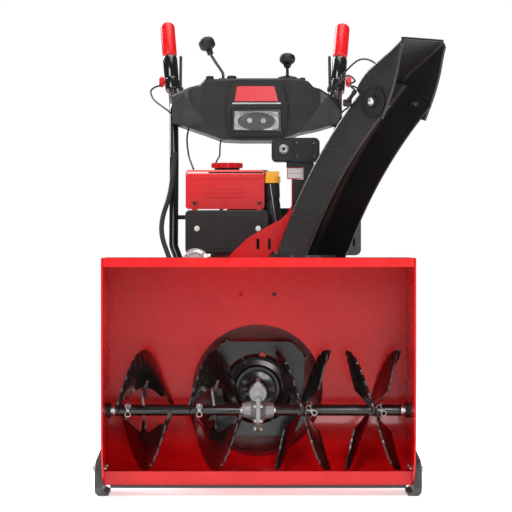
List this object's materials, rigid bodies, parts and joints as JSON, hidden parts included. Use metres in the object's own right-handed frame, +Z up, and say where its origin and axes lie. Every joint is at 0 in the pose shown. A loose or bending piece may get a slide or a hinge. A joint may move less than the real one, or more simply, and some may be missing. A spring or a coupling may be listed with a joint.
{
  "type": "two-stage snowblower",
  "caption": "Walk-behind two-stage snowblower with serrated ribbon augers, a tall bending discharge chute, front engine cover, dash with headlight, and bar handles.",
  "frame": {"origin": "on the ground midway between the wheels, directly under the axle", "axes": "+Z up, -Y towards the intake, +X towards the side the chute leans to at rest"},
  "size_m": [0.8969, 1.4779, 1.2824],
  "materials": {
    "red_paint": "glossy red powder coat",
    "red_plastic": "glossy moulded red",
    "black_paint": "glossy black paint",
    "black_plastic": "fine-grained black",
    "gloss_black": "glossy black",
    "shoe_black": "satin black, worn along the bottom",
    "zinc": "zinc plated",
    "cast_grey": "sand-cast, slightly rough",
    "crank_steel": "machined",
    "guard": "heat-proof black",
    "belt_rubber": "matte",
    "tyre": "matte tread rubber",
    "rim": "light grey painted",
    "yellow": "yellow moulded",
    "lens": "clear"
  },
  "bodies": {
    "machine": {"auger_housing": "red_paint", "impeller_housing": "red_paint", "chute_bracket": "red_paint", "engine_cover": "red_plastic", "hand_grips": "red_plastic", "scraper_bar": "black_paint", "drive_frame": "black_paint", "handle_tubes": "black_paint", "auger_bearings": "black_plastic", "dash_panel": "black_plastic", "control_head": "black_plastic", "belt_cover": "black_plastic", "fuel_tank": "black_plastic", "blower_housing": "black_plastic", "recoil_cover": "black_plastic", "grip_sleeves": "gloss_black", "dash_bezel": "gloss_black", "shoe_bolts": "zinc", "impeller_bearing": "zinc", "auger_gearbox": "cast_grey", "engine_block": "cast_grey", "cylinder_head": "cast_grey", "transmission": "cast_grey", "electric_starter": "cast_grey", "muffler_guard": "guard", "auger_belt": "belt_rubber", "headlight": "lens"},
    "auger": {"auger_left": "black_paint", "auger_right": "black_paint", "auger_shaft": "zinc", "shear_pins": "zinc"},
    "impeller": {"impeller": "black_paint", "impeller_shaft": "zinc"},
    "crank": {"crankshaft": "crank_steel"},
    "chute": {"chute_ring": "black_plastic", "chute_lower": "black_plastic", "pivot_bolts": "zinc"},
    "deflector": {"deflector": "black_plastic", "tilt_sector": "black_plastic"},
    "pinion": {"chute_pinion": "zinc"},
    "control_rod": {"control_rod": "zinc"},
    "wheel_left": {"tyre_left": "tyre", "rim_left": "rim", "axle_left": "zinc"},
    "wheel_right": {"tyre_right": "tyre", "rim_right": "rim", "axle_right": "zinc"},
    "shoe_left": {"skid_shoe_left": "shoe_black"},
    "shoe_right": {"skid_shoe_right": "shoe_black"},
    "auger_lever": {"auger_lever": "black_plastic"},
    "drive_lever": {"drive_lever": "black_plastic"},
    "trigger_left": {"trigger_left": "red_plastic"},
    "trigger_right": {"trigger_right": "red_plastic"},
    "shift_lever": {"shift_lever": "black_plastic"},
    "joystick_pivot": {"joystick_pivot": "zinc"},
    "joystick": {"joystick": "black_plastic"},
    "recoil_handle": {"recoil_handle": "black_plastic"},
    "fuel_cap": {"fuel_cap": "red_plastic"},
    "dipstick_cap": {"dipstick_cap": "yellow"},
    "starter_button": {"starter_button": "black_plastic"}
  },
  "joints": [
    {"name": "auger_spin", "type": "hinge", "parent": "machine", "child": "auger", "pos_m": [0, -0.52, 0.21], "axis": [1, 0, 0], "continuous": true},
    {"name": "impeller_spin", "type": "hinge", "parent": "machine", "child": "impeller", "pos_m": [0, -0.3, 0.253], "axis": [0, 1, 0], "continuous": true},
    {"name": "crank_spin", "type": "hinge", "parent": "machine", "child": "crank", "pos_m": [0, 0, 0.56], "axis": [0, 1, 0], "continuous": true},
    {"name": "chute_rotate", "type": "hinge", "parent": "machine", "child": "chute", "pos_m": [0.12, -0.242, 0.578], "axis": [0, 0, 1], "range_deg": [-140, 50]},
    {"name": "deflector_tilt", "type": "hinge", "parent": "chute", "child": "deflector", "pos_m": [0.34698, -0.46898, 0.983], "axis": [0.7071, 0.7071, 0], "range_deg": [-8, 45]},
    {"name": "pinion_spin", "type": "hinge", "parent": "machine", "child": "pinion", "pos_m": [0.1, -0.12368, 0.578], "axis": [0, 0, 1], "range_deg": [-225, 585]},
    {"name": "control_rod_spin", "type": "hinge", "parent": "machine", "child": "control_rod", "pos_m": [0.104, -0.0715, 0.88], "axis": [0, 0.9947, 0.1033], "range_deg": [-295, 115]},
    {"name": "wheel_left_spin", "type": "hinge", "parent": "machine", "child": "wheel_left", "pos_m": [-0.252, 0, 0.203], "axis": [1, 0, 0], "continuous": true},
    {"name": "wheel_right_spin", "type": "hinge", "parent": "machine", "child": "wheel_right", "pos_m": [0.252, 0, 0.203], "axis": [1, 0, 0], "continuous": true},
    {"name": "shoe_left_height", "type": "slide", "parent": "machine", "child": "shoe_left", "axis": [0, 0, 1], "range_m": [-0.01, 0.012]},
    {"name": "shoe_right_height", "type": "slide", "parent": "machine", "child": "shoe_right", "axis": [0, 0, 1], "range_m": [-0.01, 0.012]},
    {"name": "auger_lever_press", "type": "hinge", "parent": "machine", "child": "auger_lever", "pos_m": [-0.213, 0.648, 1.076], "axis": [1, 0, 0], "range_deg": [-25, 5]},
    {"name": "drive_lever_press", "type": "hinge", "parent": "machine", "child": "drive_lever", "pos_m": [0.213, 0.648, 1.076], "axis": [1, 0, 0], "range_deg": [-25, 5]},
    {"name": "trigger_left_squeeze", "type": "hinge", "parent": "machine", "child": "trigger_left", "pos_m": [-0.27, 0.656, 1.108], "axis": [1, 0, 0], "range_deg": [-15, 0]},
    {"name": "trigger_right_squeeze", "type": "hinge", "parent": "machine", "child": "trigger_right", "pos_m": [0.27, 0.656, 1.108], "axis": [1, 0, 0], "range_deg": [-15, 0]},
    {"name": "shift_lever_move", "type": "hinge", "parent": "machine", "child": "shift_lever", "pos_m": [-0.092, 0.32, 1.09], "axis": [1, 0, 0], "range_deg": [-18, 18]},
    {"name": "joystick_turn", "type": "hinge", "parent": "machine", "child": "joystick_pivot", "pos_m": [0.088, 0.32, 1.0915], "axis": [0, 1, 0], "range_deg": [-30, 12]},
    {"name": "joystick_tilt", "type": "hinge", "parent": "joystick_pivot", "child": "joystick", "pos_m": [0.088, 0.32, 1.0915], "axis": [1, 0, 0], "range_deg": [-5, 23]},
    {"name": "recoil_pull", "type": "slide", "parent": "machine", "child": "recoil_handle", "axis": [0, 1, 0], "range_m": [0, 0.6]},
    {"name": "fuel_cap_turn", "type": "hinge", "parent": "machine", "child": "fuel_cap", "pos_m": [-0.08, 0.086, 0.84], "axis": [0, 0, 1], "range_deg": [0, 90]},
    {"name": "dipstick_turn", "type": "hinge", "parent": "machine", "child": "dipstick_cap", "pos_m": [0.042, -0.052, 0.8], "axis": [0, 0, 1], "range_deg": [0, 180]},
    {"name": "starter_press", "type": "slide", "parent": "machine", "child": "starter_button", "axis": [0, -1, 0], "range_m": [0, 0.0025]}
  ],
  "couplings": [
    {"joint": "impeller_spin", "follows": "auger_spin", "ratio": 10},
    {"joint": "pinion_spin", "follows": "chute_rotate", "ratio": -4},
    {"joint": "control_rod_spin", "follows": "chute_rotate", "ratio": 2},
    {"joint": "joystick_turn", "follows": "chute_rotate", "ratio": 0.2},
    {"joint": "joystick_tilt", "follows": "deflector_tilt", "ratio": 0.5}
  ]
}
